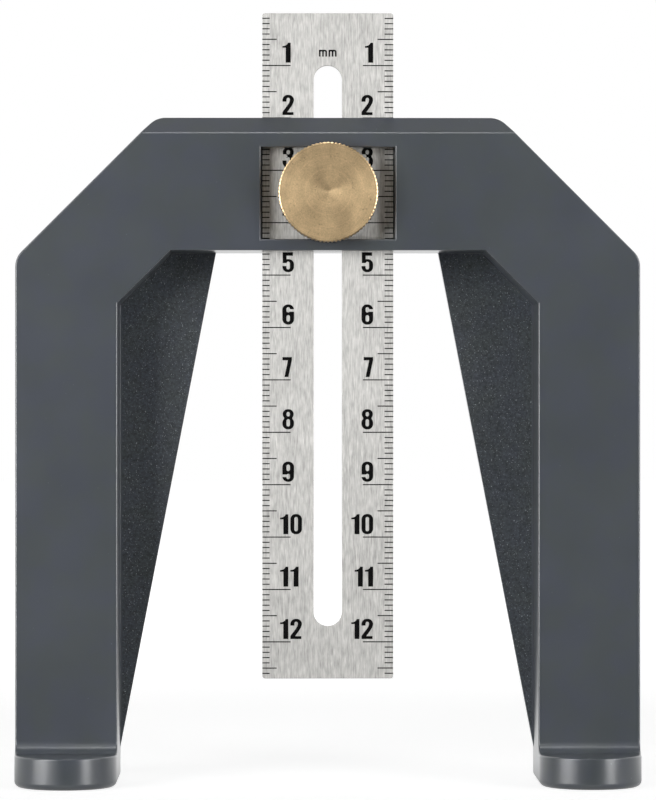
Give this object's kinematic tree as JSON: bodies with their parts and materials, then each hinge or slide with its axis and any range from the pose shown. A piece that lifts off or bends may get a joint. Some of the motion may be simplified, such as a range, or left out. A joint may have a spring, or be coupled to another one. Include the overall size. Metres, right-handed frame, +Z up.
{
  "type": "setup gauge",
  "caption": "Free-standing setup gauge for router bits and saw blades: a moulded arch on magnetic feet holds a slotted sliding rule, locked by a knurled thumb screw.",
  "frame": {"origin": "under the middle of the gauge, on the surface that the feet stand on, midway between the front of the feet and the back of the frame", "axes": "+X to the right across the legs, +Y from the front face to the back, +Z up along the rule"},
  "size_m": [0.1188, 0.0292, 0.147],
  "materials": {
    "frame_plastic": "satin grey moulding",
    "rule_steel": "brushed lengthwise",
    "scale_filling": "black filling",
    "turned_brass": "turned, with a straight knurl",
    "washer_steel": "bright",
    "insert_brass": "bright",
    "plated_steel": "nickel plated",
    "magnet_plating": "nickel plated"
  },
  "bodies": {
    "stand": {"frame": "frame_plastic", "threaded_insert": "insert_brass", "left_magnet_cup": "plated_steel", "right_magnet_cup": "plated_steel", "left_magnet": "magnet_plating", "right_magnet": "magnet_plating"},
    "sliding_rule": {"rule": "rule_steel", "front_scale_lines": "scale_filling", "front_scale_numbers": "scale_filling", "back_scale_lines": "scale_filling", "back_scale_numbers": "scale_filling"},
    "clamp": {"clamp_washer": "washer_steel"},
    "screw": {"thumb_screw": "turned_brass"}
  },
  "joints": [
    {"name": "rule_slide", "type": "slide", "parent": "stand", "child": "sliding_rule", "axis": [0, 0, 1], "range_m": [-0.02, 0.08]},
    {"name": "screw_advance", "type": "slide", "parent": "stand", "child": "clamp", "axis": [0, -1, 0], "range_m": [0, 0.0033]},
    {"name": "knob_turn", "type": "hinge", "parent": "clamp", "child": "screw", "pos_m": [0, -0.005, 0.1125], "axis": [0, -1, 0], "range_deg": [0, 1440]}
  ],
  "couplings": [
    {"joint": "screw_advance", "follows": "knob_turn", "m_per_rad": 0.00012732}
  ]
}
